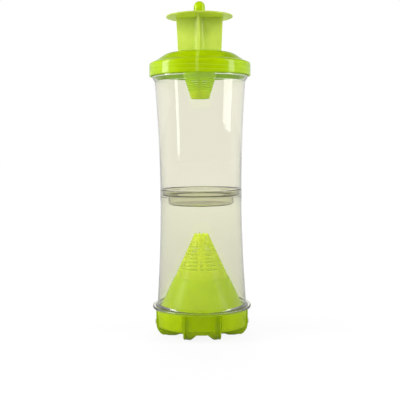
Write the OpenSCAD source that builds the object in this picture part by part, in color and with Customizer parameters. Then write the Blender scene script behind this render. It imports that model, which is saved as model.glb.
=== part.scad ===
// Twin-chamber hanging wasp trap, standing on its four feet. +Z is up, the origin is the middle of the
// footprint, and the front foot points along -Y. Lengths are in millimetres.

/* [Heights] */
// Height of the joint face where the base meets the lower chamber
base_h = 26.4; // [24:0.1:32]
// Height of the lower chamber, from that face to the top of its collar
lower_h = 118.6; // [98:0.1:143]
// Height of the upper chamber, from the lower collar to its own rim
upper_h = 122.4; // [102:0.1:147]
// Rise of the cap from the chamber rim to the flat round its mouth
dome_h = 12.1; // [11:0.1:14.5]
// Height of the open vanes between the cap and the roof disc
vane_h = 34.7; // [28:0.1:42]
// Height of the hanger knob above the roof disc
knob_h = 14.5; // [13:0.1:18]

/* [Chambers] */
// Outer radius at the waist, where the two chambers join
waist_r = 40.7; // [33.5:0.1:43]
// Outer radius at the foot of the lower chamber
foot_r = 44.6; // [42:0.1:54]
// Outer radius at the head of the upper chamber
head_r = 44.8; // [43.8:0.1:54]
// Wall of both clear chambers
clear_t = 1.2; // [1:0.05:1.5]
// Width that the flange stands out from the foot of the lower chamber
flange_w = 4.9; // [4.2:0.1:7]
// Thickness of that flange
flange_t = 2.4; // [1.8:0.1:3]
// Step from the head of the upper chamber out to the neck that the cap turns on
neck_step = 2.6; // [2:0.1:3.5]
// Height of the neck
neck_h = 12; // [11:0.1:14]
// Width of the floor between the plug's wall and the bait well
floor_w = 5.85; // [4:0.05:12]
// Depth of the bait well below that floor
well_d = 9.3; // [6:0.1:14]
// Depth that the upper chamber plugs into the lower one
plug_d = 6; // [5.4:0.1:9]

/* [Cap and funnel] */
// Wall of the cap
cap_t = 1.4; // [1.2:0.05:1.8]
// Width of the flat top of the cap, from the funnel's mouth to where the dome rounds over
plateau_w = 7.1; // [5:0.1:8]
// Slope of the dome below the horizontal, in degrees
dome_slope = 34; // [32:0.5:36]
// Radius at the mouth of the entry funnel
mouth_r = 20.4; // [16.5:0.1:22]
// Radius of the funnel's lower opening
throat_r = 6.7; // [5.5:0.1:8]
// Depth of the funnel below the cap's flat top
funnel_d = 44.4; // [36:0.1:53]
// Wall of the funnel
funnel_t = 1.2; // [1:0.05:1.5]
// Rows of vent slots in the funnel
funnel_rows = 6; // [4:1:8]

/* [Vanes and hanger] */
// Width of the seat that each vane has on the funnel's lip
vane_seat = 1; // [0.8:0.1:3]
// Extra radius of the vanes just under the roof disc
vane_lean = 1.6; // [0:0.1:4]
// Thickness of a vane at the top
vane_t = 2.3; // [1.6:0.1:3]
// Extra thickness of a vane at its foot
vane_draft = 0.9; // [0:0.1:1.5]
// Radius of the middle column of the vanes
core_r = 5; // [4.4:0.1:6]
// Radius of the roof disc
roof_r = 32.8; // [27:0.1:40]
// Thickness of the roof disc
roof_t = 1.3; // [1:0.1:2]
// Radius of the hanger knob
knob_r = 5.6; // [5:0.1:7]
// Radius of the hole that a hanging line passes through
hang_r = 2.2; // [1.8:0.1:2.4]
// Turn of the hanging hole away from the X axis, in degrees
hang_turn = 17; // [0:1:45]
// Turn of the cap, funnel and vanes against the feet when locked, in degrees
top_turn = -3; // [-8:1:8]

/* [Entry cone] */
// Height of the entry cone above the base
cone_h = 74; // [61:0.1:89]
// Radius of the opening at the top of the cone
cone_top_r = 5.4; // [4.5:0.1:7]
// Wall of the cone
cone_t = 1.4; // [1.2:0.05:1.8]
// Rows of vent slots in the cone
cone_rows = 8; // [5:1:10]

/* [Base and feet] */
// Wall of the base ring
base_t = 1.5; // [1.2:0.05:2]
// Step from the foot of the lower chamber out to the base ring
base_step = 3.2; // [2.8:0.1:3.8]
// Width of the hoop that carries the cone
hoop_w = 3.3; // [2.5:0.1:6]
// Height of the base ring's lower edge above the ground
ring_gap = 9.6; // [7:0.1:12]
// Width of each foot across its two side plates
foot_w = 36.6; // [34:0.1:40]
// Thickness of the side plates and panels of the feet
plate_t = 1.6; // [1.3:0.05:2]

/* [Attractant cup] */
// Outer radius of the attractant cup
cup_r = 14.6; // [12:0.1:17.6]
// Height of the cup
cup_h = 18; // [14:0.1:19]
// Wall of the cup
cup_t = 1.2; // [1:0.05:1.5]
// Height of the cotton pad
pad_h = 9.6; // [6:0.1:11]
// Radius of the holes in the lid of the cup
vent_r = 1.1; // [0.8:0.05:1.2]

/* [Hidden] */
$fn = 96;
lime = [0.66, 0.80, 0.05];
clear = [0.90, 0.90, 0.84, 0.35];

// Gap between pieces that turn against each other, and between pieces that only fit together
run_gap = 0.3;
snug = 0.15;
// Radial gap of the lid's hinge pin
pin_gap = 0.06;

// Levels
collar_z = base_h + lower_h;
rim_z = collar_z + upper_h;
deck_z = rim_z + dome_h;
roof_z = deck_z + vane_h;

// Radii that several pieces share
neck_r = head_r + neck_step;
flange_r = foot_r + flange_w;
base_r = foot_r + base_step;
plateau_r = mouth_r + plateau_w;
vane_foot_r = mouth_r + vane_seat;
vane_top_r = vane_foot_r + vane_lean;

// The three twist locks: each has four lugs on both pieces, and a turn of lock_turn frees them
lock_turn = 40;
lug_count = 4;
lug_arc = 20;
lug_h = 1.8;

// Points of an arc in a profile, from angle a0 to a1
function arc(x, z, r, a0, a1, n = 8) =
    [for (i = [0 : n]) [x + r * cos(a0 + (a1 - a0) * i / n), z + r * sin(a0 + (a1 - a0) * i / n)]];
function reversed(list) = [for (i = [len(list) - 1 : -1 : 0]) list[i]];
// Radius of a chamber wall that flares from the waist to an end, at share s of the way
function flare(end_r, s) = waist_r + (end_r - waist_r) * pow(s, 1.8);

// A sector of a ring, from radius r0 to r1 and height z0 to z1, centred on angle a
module sector(r0, r1, z0, z1, a, width) {
    rotate([0, 0, a - width / 2])
        rotate_extrude(angle = width)
            polygon([[r0, z0], [r1, z0], [r1, z1], [r0, z1]]);
}

module lugs(r0, r1, z0, count = lug_count, width = lug_arc, first = 45) {
    for (i = [0 : count - 1])
        sector(r0, r1, z0, z0 + lug_h, first + i * 360 / count, width);
}

// Repeats a piece at the four sides
module at_sides() {
    for (a = [0 : 90 : 270])
        rotate([0, 0, a])
            children();
}

// Layers of narrow slots round a cone: a flat ring less the upright bars that stay solid
module slot_rows(z0, rows, pitch, slot_h, reach, bars) {
    for (i = [0 : rows - 1])
        translate([0, 0, z0 + i * pitch])
            difference() {
                cylinder(r = reach, h = slot_h);
                for (bar = bars)
                    rotate([0, 0, bar[0]])
                        translate([0, -bar[1] / 2, -1])
                            cube([reach + 1, bar[1], slot_h + 2]);
            }
}

// ---- hanger, roof and vanes ----

stem_r = 2.4;
stem_d = 18;
hole_z = roof_z + roof_t + knob_h - knob_r - hang_r - 0.2;

module hanger_knob() {
    knob_top = roof_z + roof_t + knob_h;
    shoulder = knob_top - knob_r;
    color(lime)
        difference() {
            rotate_extrude()
                polygon(concat(
                    [[0, roof_z - stem_d], [stem_r - 0.4, roof_z - stem_d], [stem_r, roof_z - stem_d + 0.6],
                     [stem_r, roof_z + roof_t], [knob_r, roof_z + roof_t]],
                    arc(0, shoulder, knob_r, 0, 90, 12)
                ));
            translate([0, 0, hole_z])
                rotate([0, 0, hang_turn])
                    rotate([0, 90, 0])
                        cylinder(r = hang_r, h = 4 * knob_r, center = true);
        }
}

module roof_disc() {
    edge = roof_t / 2;
    color(lime)
        rotate_extrude()
            polygon(concat(
                [[stem_r + snug, roof_z]],
                arc(roof_r - edge, roof_z + edge, edge, -90, 90, 6),
                [[stem_r + snug, roof_z + roof_t]]
            ));
}

// The funnel's outside, at a height
funnel_z = deck_z - funnel_d;
lip_t = 1.3;
lip_r = plateau_r - 1;
funnel_slope = (mouth_r - throat_r) / funnel_d;
function funnel_r(z) = throat_r + funnel_t + funnel_slope * (z - funnel_z);

tail_z = deck_z - 17.5;
barb_z = deck_z - 9.5;
barb_h = 1.6;
barb_w = 2;

// A vane's outline as radius and height: it stands on the funnel's lip, and its tail hangs in the mouth
module vane_outline() {
    inside = funnel_t + 0.4;
    polygon([
        [0, tail_z], [funnel_r(tail_z) - inside, tail_z], [funnel_r(deck_z) - inside, deck_z],
        [vane_foot_r, deck_z], [vane_top_r, roof_z], [0, roof_z]
    ]);
}

module vane() {
    foot_t = vane_t + vane_draft;
    intersection() {
        rotate([90, 0, 0])
            linear_extrude(height = 2 * foot_t, center = true)
                vane_outline();
        rotate([90, 0, 90])
            linear_extrude(height = vane_top_r + 1)
                polygon([[-foot_t / 2, tail_z - 1], [foot_t / 2, tail_z - 1],
                         [vane_t / 2, roof_z + 1], [-vane_t / 2, roof_z + 1]]);
    }
    // The barb that snaps into the funnel's window
    translate([funnel_r(barb_z) - funnel_t - 1, -barb_w / 2, barb_z])
        cube([funnel_t + 1, barb_w, barb_h]);
}

module vane_cross() {
    color(lime)
        rotate([0, 0, top_turn])
            difference() {
                union() {
                    at_sides()
                        vane();
                    translate([0, 0, tail_z])
                        cylinder(r1 = core_r + 0.3, r2 = core_r - 0.2, h = roof_z - tail_z);
                }
                translate([0, 0, roof_z - stem_d - 0.5])
                    cylinder(r = stem_r + snug, h = stem_d + 1);
            }
}

// ---- cap and funnel ----

cap_r = neck_r + run_gap + 1 + cap_t - 0.05;
seat_z = rim_z;
skirt_z = rim_z - 10.5;
cap_lug_z = skirt_z + 0.3;
round_r = 16;

module cap_profile() {
    knee_r = plateau_r + round_r * sin(dome_slope);
    knee_z = deck_z - round_r * (1 - cos(dome_slope));
    shoulder_r = cap_r - 5.7;
    shoulder_z = knee_z - (shoulder_r - knee_r) * tan(dome_slope);
    corner = 1.9;
    hole_r = funnel_r(deck_z) + snug;
    under = deck_z - lip_t - cap_t;
    inner_knee = shoulder_r - cap_t * sin(dome_slope);
    skirt_in = cap_r - cap_t;
    polygon(concat(
        [[hole_r, under], [hole_r, deck_z - lip_t], [lip_r + snug, deck_z - lip_t], [lip_r + snug, deck_z]],
        reversed(arc(plateau_r, deck_z - round_r, round_r, 90 - dome_slope, 90, 6)),
        [[shoulder_r, shoulder_z]],
        reversed(arc(cap_r - corner, seat_z + 0.3, corner, 0, 72, 5)),
        [[cap_r, skirt_z + 0.7], [cap_r - 0.7, skirt_z], [skirt_in, skirt_z], [skirt_in, seat_z],
         [shoulder_r + 1.1, seat_z], [shoulder_r + 1.1, shoulder_z - cap_t * 1.9],
         [inner_knee, shoulder_z - cap_t * cos(dome_slope)],
         [inner_knee - (under - shoulder_z + cap_t * cos(dome_slope)) / tan(dome_slope - 1), under]]
    ));
}

// The four stiffening webs under the dome, which show through it as pale strips
module cap_web() {
    web_t = 3;
    low = rim_z - 5.4;
    reach = neck_r - 1.3 - 1.1;
    intersection() {
        translate([funnel_r(deck_z) + 1, -web_t / 2, low])
            cube([reach - funnel_r(deck_z) - 1, web_t, deck_z - low - lip_t - 0.3]);
        rotate_extrude()
            polygon([[0, low], [reach, low], [reach, seat_z + 0.8], [cap_r - 6.4, seat_z + 3],
                     [plateau_r + 6, deck_z - 2.2], [plateau_r, deck_z - 1.6], [0, deck_z - 1.6]]);
    }
}

module top_cap() {
    color(lime)
        rotate([0, 0, top_turn]) {
            rotate_extrude()
                cap_profile();
            at_sides()
                cap_web();
            lugs(neck_r + run_gap, cap_r - cap_t + 0.2, cap_lug_z);
        }
}

module entry_funnel() {
    slot_pitch = 2.05;
    slot_h = 1.1;
    slots_z = funnel_z + 7.6;
    rib_w = 3;
    strip_w = 0.9;
    bars = concat(
        [for (a = [0 : 90 : 270]) [a, rib_w]],
        [for (a = [45 : 90 : 315]) [a, strip_w]]
    );
    color(lime)
        rotate([0, 0, top_turn])
            difference() {
                union() {
                    rotate_extrude()
                        polygon([
                            [throat_r, funnel_z], [throat_r + funnel_t, funnel_z],
                            [funnel_r(deck_z - lip_t), deck_z - lip_t], [lip_r, deck_z - lip_t],
                            [lip_r, deck_z], [mouth_r, deck_z]
                        ]);
                    // Thin hoops between the slots
                    for (i = [0 : funnel_rows])
                        translate([0, 0, slots_z - (slot_pitch + slot_h) / 2 + i * slot_pitch - 0.3])
                            difference() {
                                cylinder(r = funnel_r(slots_z + i * slot_pitch) + 0.15, h = 0.6);
                                translate([0, 0, -1])
                                    cylinder(r = funnel_r(slots_z + i * slot_pitch) - 0.9, h = 3);
                            }
                    at_sides()
                        rotate([90, 0, 0])
                            linear_extrude(height = rib_w, center = true)
                                polygon([
                                    [funnel_r(funnel_z) - 0.3, funnel_z],
                                    [funnel_r(funnel_z) + 0.5, funnel_z + 1],
                                    [funnel_r(deck_z - 10) + 0.5, deck_z - 10],
                                    [funnel_r(deck_z - 8) - 0.3, deck_z - 8]
                                ]);
                }
                slot_rows(slots_z, funnel_rows, slot_pitch, slot_h, mouth_r, bars);
                at_sides()
                    translate([funnel_r(barb_z) - funnel_t - 2, -barb_w / 2 - 0.4, barb_z - 0.3])
                        cube([funnel_t + 4, barb_w + 0.8, barb_h + 0.6]);
            }
}

// ---- clear chambers ----

plug_gap = 0.8;
collar_in = waist_r - clear_t + 0.15;
plug_r = collar_in - plug_gap - run_gap;
plug_lug_z = collar_z - plug_d + 0.4;
well_r = plug_r - floor_w;

module upper_chamber() {
    steps = 12;
    wall_z = rim_z - neck_h - 4;
    floor_z = collar_z - plug_d;
    corner = 3.2;
    tube_z = collar_z + 0.2;
    function at(i) = tube_z + (wall_z - tube_z) * i / steps;
    outer = [for (i = [0 : steps]) [flare(head_r, i / steps) - 0.2 * (1 - i / steps), at(i)]];
    inner = [for (i = [steps : -1 : 0]) [flare(head_r, i / steps) - clear_t - 0.2 * (1 - i / steps), at(i)]];
    color(clear) {
        rotate_extrude()
            polygon(concat(
                [[0, floor_z - well_d]],
                arc(well_r - corner, floor_z - well_d + corner, corner, -90, 0, 6),
                [[well_r, floor_z], [plug_r, floor_z], [plug_r, tube_z]],
                outer,
                [[neck_r, rim_z - neck_h], [neck_r, rim_z - 0.4], [neck_r - 0.4, rim_z],
                 [neck_r - clear_t, rim_z], [neck_r - clear_t, rim_z - neck_h + 0.5]],
                inner,
                [[plug_r - clear_t, tube_z - 0.6], [plug_r - clear_t, floor_z + clear_t],
                 [well_r - clear_t, floor_z + clear_t]],
                reversed(arc(well_r - corner, floor_z - well_d + corner, corner - clear_t, -90, 0, 6)),
                [[0, floor_z - well_d + clear_t]]
            ));
        // Lugs that the cap hangs on
        rotate([0, 0, top_turn])
            lugs(neck_r - 0.2, neck_r + 1, cap_lug_z + lug_h + run_gap);
        // Lugs that the lower chamber hangs on
        lugs(plug_r - 0.2, collar_in - run_gap, plug_lug_z);
    }
}

skirt_d = 5.6;
skirt_r = foot_r - 0.9;
skirt_t = 1.1;
base_lug_z = base_h - skirt_d;
lug_reach = base_r - base_t - 1.7;

module lower_chamber() {
    steps = 12;
    wall_z = base_h + flange_t + 2.4;
    collar_low = collar_z - plug_d - 1;
    function at(i) = wall_z + (collar_low - wall_z) * i / steps;
    outer = [for (i = [0 : steps]) [flare(foot_r, 1 - i / steps), at(i)]];
    inner = [for (i = [steps : -1 : 0]) [flare(foot_r, 1 - i / steps) - clear_t, at(i)]];
    edge = flange_t / 2;
    color(clear) {
        rotate_extrude()
            polygon(concat(
                [[skirt_r - skirt_t, base_h - skirt_d], [skirt_r, base_h - skirt_d], [skirt_r, base_h]],
                arc(flange_r - edge, base_h + edge, edge, -90, 90, 8),
                [[foot_r + 1.4, base_h + flange_t]],
                outer,
                [[waist_r, collar_z], [collar_in, collar_z], [collar_in, collar_low + 0.4]],
                inner,
                [[skirt_r - skirt_t, base_h + 1]]
            ));
        // Lugs that the base hangs on
        lugs(skirt_r - 0.2, lug_reach, base_lug_z);
        // Lugs inside the collar, above those of the upper chamber
        lugs(plug_r + run_gap, collar_in + 0.2, plug_lug_z + lug_h + run_gap);
    }
}

trough_in = skirt_r - skirt_t - run_gap;
trough_t = 1.5;
hoop_r = trough_in - hoop_w;

// ---- entry cone ----

cone_foot_r = skirt_r - skirt_t - 0.8;
cone_slope = (cone_foot_r - cone_top_r - cone_t) / cone_h;
ledge_z = base_h + 0.415 * cone_h;
function cone_r(z) = cone_foot_r - cone_slope * (z - base_h);

module entry_cone() {
    slot_pitch = 0.0468 * cone_h;
    slot_h = 1.2;
    slots_z = ledge_z + 0.12 * cone_h;
    top_z = base_h + cone_h;
    rim_t = 1.4;
    teeth = 10;
    notch = 2.8;
    ledge = 0.6;
    spigot = hoop_r - snug;
    spigot_low = base_h - hoop_t + snug;
    bars = concat(
        [for (a = [0 : 90 : 270]) for (s = [-1, 1]) [a + s * 7.5, 2.6]],
        [for (a = [45 : 90 : 315]) [a, 2.6]]
    );
    color(lime)
        difference() {
            rotate_extrude()
                polygon([
                    [spigot - cone_t, spigot_low], [spigot, spigot_low],
                    [spigot, base_h], [cone_foot_r + 0.5, base_h],
                    [cone_foot_r + 0.5, base_h + rim_t], [cone_r(base_h + rim_t), base_h + rim_t],
                    [cone_r(ledge_z - ledge), ledge_z - ledge], [cone_r(ledge_z) - ledge, ledge_z],
                    [cone_r(top_z) - 0.1, top_z], [cone_r(top_z) - cone_t + 0.1, top_z],
                    [cone_r(ledge_z) - ledge - cone_t, ledge_z],
                    [cone_r(ledge_z - 2) - cone_t, ledge_z - 2],
                    [spigot - cone_t, base_h + (cone_foot_r - spigot) / cone_slope]
                ]);
            slot_rows(slots_z, cone_rows, slot_pitch, slot_h, cone_foot_r, bars);
            // Notches that leave a crown of teeth round the opening
            for (i = [0 : teeth - 1])
                rotate([0, 0, (i + 0.5) * 360 / teeth])
                    translate([0, 0, top_z + 0.4])
                        rotate([45, 0, 0])
                            translate([0, -notch / 2, -notch / 2])
                                cube([cone_foot_r, notch, notch]);
        }
}

// ---- base ring and feet ----

hoop_t = 1.5;
trough_z = base_h - skirt_d - 0.5;
panel_r = base_r - base_t;
panel_in = lug_reach + 0.15;
notch_w = foot_w + 2 * run_gap;

module base_ring() {
    color(lime)
        difference() {
            union() {
                rotate_extrude()
                    polygon([
                        [trough_in - trough_t, trough_z - trough_t], [base_r - base_t - 0.3, trough_z - trough_t],
                        [base_r - base_t - 0.5, ring_gap], [base_r - 0.8, ring_gap], [base_r, trough_z],
                        [base_r, base_h - 0.1], [base_r - base_t, base_h - 0.1], [base_r - base_t, trough_z],
                        [trough_in, trough_z], [trough_in, base_h], [hoop_r, base_h],
                        [hoop_r, base_h - hoop_t], [trough_in - trough_t, base_h - hoop_t]
                    ]);
                // Lugs that hang on those of the lower chamber
                lugs(skirt_r + run_gap, base_r - base_t + 0.2, base_lug_z + lug_h + run_gap);
            }
            at_sides()
                intersection() {
                    translate([0, -notch_w / 2, -1])
                        cube([base_r + 1, notch_w, base_h + 2]);
                    difference() {
                        cylinder(r = base_r + 1, h = base_h + 1);
                        translate([0, 0, -1])
                            cylinder(r = panel_in, h = base_h + 3);
                    }
                }
        }
}

// A foot's rounded lower corner, as radius and height
function toe(r, rx, rz, n = 7) =
    [for (i = [0 : n]) [r + rx * sin(90 * i / n), foot_corner - rz * cos(90 * i / n)]];

foot_corner = 12.5;
foot_out = base_r + 0.6;
toe_r = foot_out - 10.8;
panel_toe = panel_r - 11.8;
roof_top = base_h - hoop_t;
roof_low = roof_top - plate_t;
arm_end = trough_in - trough_t - snug;
rail_out = 4.7;
rail_w = 1.2;

// The outline of an arm seen from its end: two rounded rails with a notch between them
module arm_front() {
    half = foot_w / 2;
    rail = half - rail_out;
    notch_z = 7.3;
    notch_half = 5.5;
    left = concat(
        [[-half, base_h]],
        [for (i = [0 : 5]) [-rail - rail_out * cos(18 * i), 5 - 5 * sin(18 * i)]],
        [[-rail + rail_w, 0], [-notch_half, notch_z]]
    );
    polygon(concat(left, reversed([for (p = left) [-p[0], p[1]]])));
}

module arm_hollow() {
    half = foot_w / 2 - plate_t;
    rail = foot_w / 2 - rail_out;
    left = [[-half, roof_low], [-half, 5.8], [-rail, plate_t], [-rail + rail_w, plate_t], [-rail + rail_w, -1]];
    polygon(concat(left, reversed([for (p = left) [-p[0], p[1]]])));
}

// Carries a front outline along an arm
module along_arm() {
    rotate([90, 0, 90])
        linear_extrude(height = foot_out + 1)
            children();
}

module fan(points) {
    rotate([0, 0, -45])
        rotate_extrude(angle = 90)
            polygon(points);
}

module arm_solid() {
    intersection() {
        fan(concat(
            [[1, 2], [toe_r - 9, 2], [toe_r - 7, 0]],
            toe(toe_r, foot_out - toe_r, foot_corner),
            [[foot_out, base_h - 0.3], [panel_in + snug, base_h - 0.3], [panel_in + snug, trough_z - trough_t - snug],
             [arm_end, trough_z - trough_t - snug], [arm_end, roof_top], [1, roof_top]]
        ));
        along_arm()
            arm_front();
    }
}

module arm_cut() {
    web_in = panel_r - plate_t + 0.05;
    intersection() {
        fan(concat(
            [[1, -1], [panel_toe, -1]],
            toe(panel_toe, web_in - panel_toe, foot_corner - 1.8),
            [[web_in, roof_low], [1, roof_low]]
        ));
        along_arm()
            arm_hollow();
    }
    // The panel between the side plates is set back from their edges
    intersection() {
        fan(concat(
            toe(panel_toe, panel_r - panel_toe, foot_corner - 0.2),
            [[panel_r, base_h + 1], [foot_out + 2, base_h + 1], [foot_out + 2, -1], [panel_toe, -1]]
        ));
        translate([20, plate_t - foot_w / 2, -2])
            cube([foot_out, foot_w - 2 * plate_t, base_h + 4]);
    }
}

cup_lugs = 3;
cup_lug_arc = 30;
cup_lug_r = cup_r + 2.4;
ear_out = 4.6;

module foot_cross() {
    ledge_h = 2;
    color(lime)
        difference() {
            union() {
                difference() {
                    union()
                        at_sides()
                            arm_solid();
                    translate([0, 0, -1])
                        cylinder(r = cup_r + 0.4, h = base_h + 2);
                    at_sides()
                        arm_cut();
                }
                at_sides()
                    sector(panel_r - 0.4, panel_r + 0.8, 10.8, 10.8 + ledge_h, 0, 30);
            }
            // The slots that the cup's lugs rise through
            for (i = [0 : cup_lugs - 1])
                sector(cup_r - 1, cup_lug_r + run_gap, roof_low - 1, roof_top + 1,
                       90 + lock_turn + i * 360 / cup_lugs, cup_lug_arc + 5);
            rotate([0, 0, 90 + lock_turn])
                translate([0, -ear_out - run_gap, roof_low - 1])
                    cube([ear_r + ear_t + run_gap, 2 * ear_out + 2 * run_gap, plate_t + 2]);
        }
}

// ---- attractant cup, lid and pad ----

cup_top = roof_top + 3.5;
cup_low = cup_top - cup_h;
pin_r = 0.9;
ear_r = cup_r + 2;
ear_t = 1.8;
ear_up = 1.6;
ear_back = 2.4;
pin_z = cup_top + 0.6;
// Reach of the lid's flat, where it clears the ears as it swings
lid_flat = ear_r - sqrt(pow(ear_back, 2) + pow(ear_up, 2)) - snug;
lid_t = 1.3;

module attractant_cup() {
    grip_h = 4;
    ear_w = 1.8;
    ear_z = roof_top + run_gap + 0.4;
    ear_foot = 0.9;
    color("ivory")
        difference() {
            union() {
                rotate_extrude()
                    polygon([
                        [0, cup_low], [cup_r - 1, cup_low], [cup_r, cup_low + 1], [cup_r, roof_low - 1.6],
                        [cup_lug_r, roof_low - 1.6], [cup_lug_r, roof_low - run_gap], [cup_r, roof_low - run_gap],
                        [cup_r, cup_top], [cup_r - cup_t, cup_top], [cup_r - cup_t, cup_low + cup_t],
                        [0, cup_low + cup_t]
                    ]);
                for (i = [0 : cup_lugs - 1])
                    sector(cup_r - 0.2, cup_lug_r, roof_top + run_gap, roof_top + run_gap + 1.4,
                           90 + i * 360 / cup_lugs, cup_lug_arc);
                // Ears of the lid's hinge, with feet that join the wall below the rim
                for (s = [-1, 1])
                    translate([s * (ear_out - ear_w / 2) - ear_w / 2, 0, ear_z]) {
                        translate([0, cup_r - ear_foot, 0])
                            cube([ear_w, ear_r + ear_t - cup_r + ear_foot, cup_top - 0.4 - ear_z]);
                        translate([0, ear_r - ear_back, 0])
                            cube([ear_w, ear_back + ear_t, pin_z + ear_up - ear_z]);
                    }
                // Finger grip
                translate([-cup_r + 3, -1.2, cup_low - grip_h])
                    cube([2 * cup_r - 6, 2.4, grip_h + 0.2]);
            }
            translate([0, ear_r, pin_z])
                rotate([0, 90, 0])
                    cylinder(r = pin_r + pin_gap, h = 4 * ear_out, center = true);
        }
}

module cup_lid() {
    knuckle = 2.4;
    plug_h = 1.6;
    ring = 6;
    color("ivory")
        difference() {
            union() {
                difference() {
                    translate([0, 0, cup_top])
                        cylinder(r = cup_r, h = lid_t);
                    translate([-cup_r, lid_flat, cup_top - 1])
                        cube([2 * cup_r, cup_r, lid_t + 2]);
                }
                rotate_extrude()
                    polygon([
                        [cup_r - cup_t - snug - 1, cup_top - plug_h], [cup_r - cup_t - snug, cup_top - plug_h],
                        [cup_r - cup_t - snug, cup_top + 0.2], [cup_r - cup_t - snug - 1, cup_top + 0.2]
                    ]);
                translate([-knuckle, lid_flat - 1, cup_top])
                    cube([2 * knuckle, ear_r - lid_flat + 1, lid_t]);
                translate([0, ear_r, pin_z])
                    rotate([0, 90, 0])
                        cylinder(r = 1.4, h = 2 * knuckle, center = true);
                translate([0, ear_r, pin_z])
                    rotate([0, 90, 0])
                        cylinder(r = pin_r, h = 2 * ear_out, center = true);
            }
            translate([0, 0, cup_top - 1]) {
                cylinder(r = vent_r, h = 4);
                for (k = [1, 2])
                    for (i = [0 : ring * k - 1])
                        rotate([0, 0, i * 360 / (ring * k)])
                            translate([k * 4.4, 0, 0])
                                cylinder(r = vent_r, h = 4);
            }
        }
}

module cotton_pad() {
    color("white")
        translate([0, 0, cup_low + cup_t])
            cylinder(r = cup_r - cup_t - 0.4, h = pad_h);
}

hanger_knob();
roof_disc();
vane_cross();
top_cap();
entry_funnel();
upper_chamber();
lower_chamber();
entry_cone();
base_ring();
foot_cross();
attractant_cup();
cup_lid();
cotton_pad();
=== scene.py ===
# Hanging wasp trap: clear chambers between a lime cap and a lime footed base.
# The pieces' dictionaries are in millimetres. The studio, the lights and the camera are in metres.
import math
import bmesh
import bpy
import numpy as np
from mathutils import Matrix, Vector


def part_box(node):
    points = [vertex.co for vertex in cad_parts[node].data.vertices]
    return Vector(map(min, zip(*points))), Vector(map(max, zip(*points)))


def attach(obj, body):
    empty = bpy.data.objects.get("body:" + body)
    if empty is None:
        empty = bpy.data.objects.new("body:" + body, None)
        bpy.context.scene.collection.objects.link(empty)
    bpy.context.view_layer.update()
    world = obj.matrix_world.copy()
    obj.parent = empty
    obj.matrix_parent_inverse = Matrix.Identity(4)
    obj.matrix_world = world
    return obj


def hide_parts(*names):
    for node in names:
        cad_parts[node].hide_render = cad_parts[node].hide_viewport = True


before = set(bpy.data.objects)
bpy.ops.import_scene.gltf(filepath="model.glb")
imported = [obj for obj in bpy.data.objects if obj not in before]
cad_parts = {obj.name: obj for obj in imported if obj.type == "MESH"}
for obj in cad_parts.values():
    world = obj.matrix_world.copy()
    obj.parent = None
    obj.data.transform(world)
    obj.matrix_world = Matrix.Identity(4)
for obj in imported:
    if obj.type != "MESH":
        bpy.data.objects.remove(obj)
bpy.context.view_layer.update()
mm = 0.001
fullTurn = 2 * math.pi


def heights(node):
    # Lowest and highest level of a CAD node
    low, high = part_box(node)
    return low.z / mm, high.z / mm


def reach(node):
    # Farthest a round CAD node stands from the axis
    low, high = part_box(node)
    return max(high.x, high.y, -low.x, -low.y) / mm


# Levels that several pieces share
baseTop = heights("base_ring")[1]
collarTop = heights("lower_chamber")[1]
rimTop = heights("upper_chamber")[1]
deckTop = heights("top_cap")[1]
roofLow, roofTop = heights("roof_disc")
topTurn = math.radians(-3)      # the cap and all it carries, against the feet

# The twist locks all have four lugs, halfway between the feet
lock = {"height": 1.8, "arc": math.radians(20), "angles": np.radians([45, 135, 225, 315]), "round": 0.15,
        "sunk": 0.02, "gap": 0.3}


def roundCorners(points, fillets, steps=4, support=0.15):
    # Each corner p becomes the parabola (1-t)^2 a + 2t(1-t) p + t^2 b between the points a and b where a
    # fillet would touch its sides. One more point a little way along each side keeps flats evenly shaded.
    p = np.asarray(points, float)
    toLast = np.roll(p, 1, axis=-2) - p
    toNext = np.roll(p, -1, axis=-2) - p
    lastLength = np.linalg.norm(toLast, axis=-1, keepdims=True)
    nextLength = np.linalg.norm(toNext, axis=-1, keepdims=True)
    u = toLast / lastLength
    v = toNext / nextLength
    halfAngle = np.arccos(np.clip((u * v).sum(-1, keepdims=True), -1, 1)) / 2
    room = np.minimum(lastLength, nextLength)
    radius = np.broadcast_to(np.asarray(fillets, float)[..., None], halfAngle.shape)
    trim = np.minimum(radius / np.tan(halfAngle), 0.42 * room)
    extra = np.minimum(support, 0.4 * (0.5 * room - trim))
    a = (p + u * trim)[..., None, :]
    b = (p + v * trim)[..., None, :]
    t = np.linspace(0, 1, steps + 1)[:, None]
    curve = (1 - t) ** 2 * a + 2 * t * (1 - t) * p[..., None, :] + t ** 2 * b
    first = (p + u * (trim + extra))[..., None, :]
    last = (p + v * (trim + extra))[..., None, :]
    rounded = np.concatenate([first, curve, last], axis=-2)
    return rounded.reshape(p.shape[:-2] + (-1, 2))


def gridFaces(rows, columns, wrapRows=False, wrapColumns=False, keep=None):
    # Face (i, j) joins grid points (i, j), (i, j+1), (i+1, j+1) and (i+1, j)
    i = np.arange(rows if wrapRows else rows - 1)[:, None]
    j = np.arange(columns if wrapColumns else columns - 1)[None, :]
    nextI = (i + 1) % rows
    nextJ = (j + 1) % columns
    quads = np.stack([i * columns + j, i * columns + nextJ, nextI * columns + nextJ, nextI * columns + j], -1)
    return quads.reshape(-1, 4) if keep is None else quads[keep]


def revolve(profile, steps=160):
    # Point (i, j) is (r cos a, r sin a, z) for profile point (r, z) number j and angle a = 2 pi i / steps
    angle = np.arange(steps)[:, None] * fullTurn / steps
    r, z = profile[:, 0], profile[:, 1]
    points = np.stack([r * np.cos(angle), r * np.sin(angle), z + 0 * angle], -1)
    return points.reshape(-1, 3), [gridFaces(steps, len(profile), True, True)]


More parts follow.
